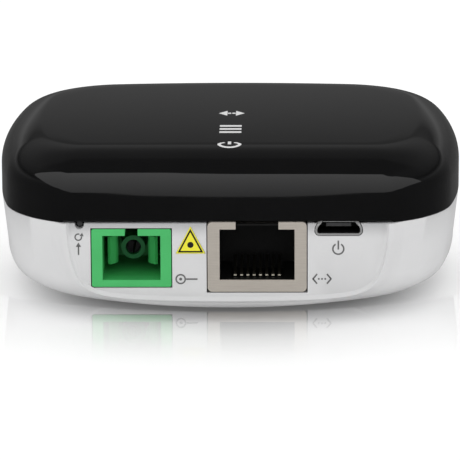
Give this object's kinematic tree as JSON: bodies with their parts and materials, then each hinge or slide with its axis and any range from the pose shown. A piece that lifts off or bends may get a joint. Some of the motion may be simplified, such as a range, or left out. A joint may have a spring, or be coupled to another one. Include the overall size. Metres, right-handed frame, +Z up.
{
  "type": "optical network terminal",
  "caption": "Small rounded-square optical network terminal: gloss cover over a white shell, with fibre, network, power and reset openings on one flat side.",
  "frame": {"origin": "centre of the footprint, on the surface that the rubber feet stand on", "axes": "+Z up, the flat port side faces -Y, +X to the right when facing the ports; the width along X is the longest side"},
  "size_m": [0.0768, 0.0632, 0.028],
  "materials": {
    "shell_white": "satin moulded",
    "cover_black": "high gloss",
    "window_white": "translucent insert",
    "clear_acrylic": "polished",
    "led_white": "encapsulated",
    "board_green": "solder mask",
    "screw_steel": "zinc plated",
    "chip_black": "moulded epoxy",
    "pad_grey": "soft",
    "sink_aluminium": "extruded",
    "can_metal": "drawn metal",
    "ferrite_grey": "pressed powder",
    "jack_nickel": "plated sheet",
    "jack_black": "moulded",
    "contact_gold": "gold plated",
    "fibre_green": "satin moulded",
    "barrel_green": "satin moulded",
    "ceramic_white": "ground zirconia",
    "usb_metal": "plated sheet",
    "plunger_grey": "moulded",
    "foot_rubber": "soft",
    "label_grey": "printed film, left blank",
    "label_yellow": "film"
  },
  "bodies": {
    "case": {"bottom_shell": "shell_white", "top_cover": "cover_black", "led_window_power": "window_white", "led_window_link": "window_white", "led_window_lan": "window_white", "light_pipe": "clear_acrylic", "status_leds": "led_white", "main_board": "board_green", "board_screws": "screw_steel", "processor": "chip_black", "thermal_pad": "pad_grey", "heatsink": "sink_aluminium", "memory_chip": "chip_black", "flash_chip": "chip_black", "laser_driver": "chip_black", "crystal": "can_metal", "inductor": "ferrite_grey", "capacitors": "can_metal", "lan_transformer": "chip_black", "rj45_shield": "jack_nickel", "rj45_housing": "jack_black", "rj45_contact_tails": "contact_gold", "sc_housing": "fibre_green", "sleeve_holder": "barrel_green", "alignment_sleeve": "ceramic_white", "fibre_stub": "ceramic_white", "optics_block": "can_metal", "laser_can": "can_metal", "receiver_can": "can_metal", "usb_shell": "usb_metal", "usb_tongue": "jack_black", "usb_contacts": "contact_gold", "reset_switch_body": "jack_black", "rubber_feet": "foot_rubber", "rating_label": "label_grey", "caution_label": "label_yellow"},
    "reset_button": {"reset_plunger": "plunger_grey"},
    "fibre_latch_left": {"sc_latch_left": "fibre_green"},
    "fibre_latch_right": {"sc_latch_right": "fibre_green"},
    "jack_contacts": {"rj45_contact_springs": "contact_gold"}
  },
  "joints": [
    {"name": "reset_press", "type": "slide", "parent": "case", "child": "reset_button", "axis": [0, 1, 0], "range_m": [0, 0.0003], "stiffness_N_per_m": 4000, "springref_m": -0.00005},
    {"name": "fibre_latch_left_flex", "type": "hinge", "parent": "case", "child": "fibre_latch_left", "pos_m": [-0.01908, -0.01606, 0.01077], "axis": [0, 0, 1], "range_deg": [-3.5, 0], "stiffness_Nm_per_rad": 0.35},
    {"name": "fibre_latch_right_flex", "type": "hinge", "parent": "case", "child": "fibre_latch_right", "pos_m": [-0.01198, -0.01606, 0.01077], "axis": [0, 0, 1], "range_deg": [0, 3.5], "stiffness_Nm_per_rad": 0.35},
    {"name": "jack_contacts_flex", "type": "hinge", "parent": "case", "child": "jack_contacts", "pos_m": [0.00475, -0.02886, 0.00732], "axis": [1, 0, 0], "range_deg": [-8, 0], "stiffness_Nm_per_rad": 0.12}
  ]
}
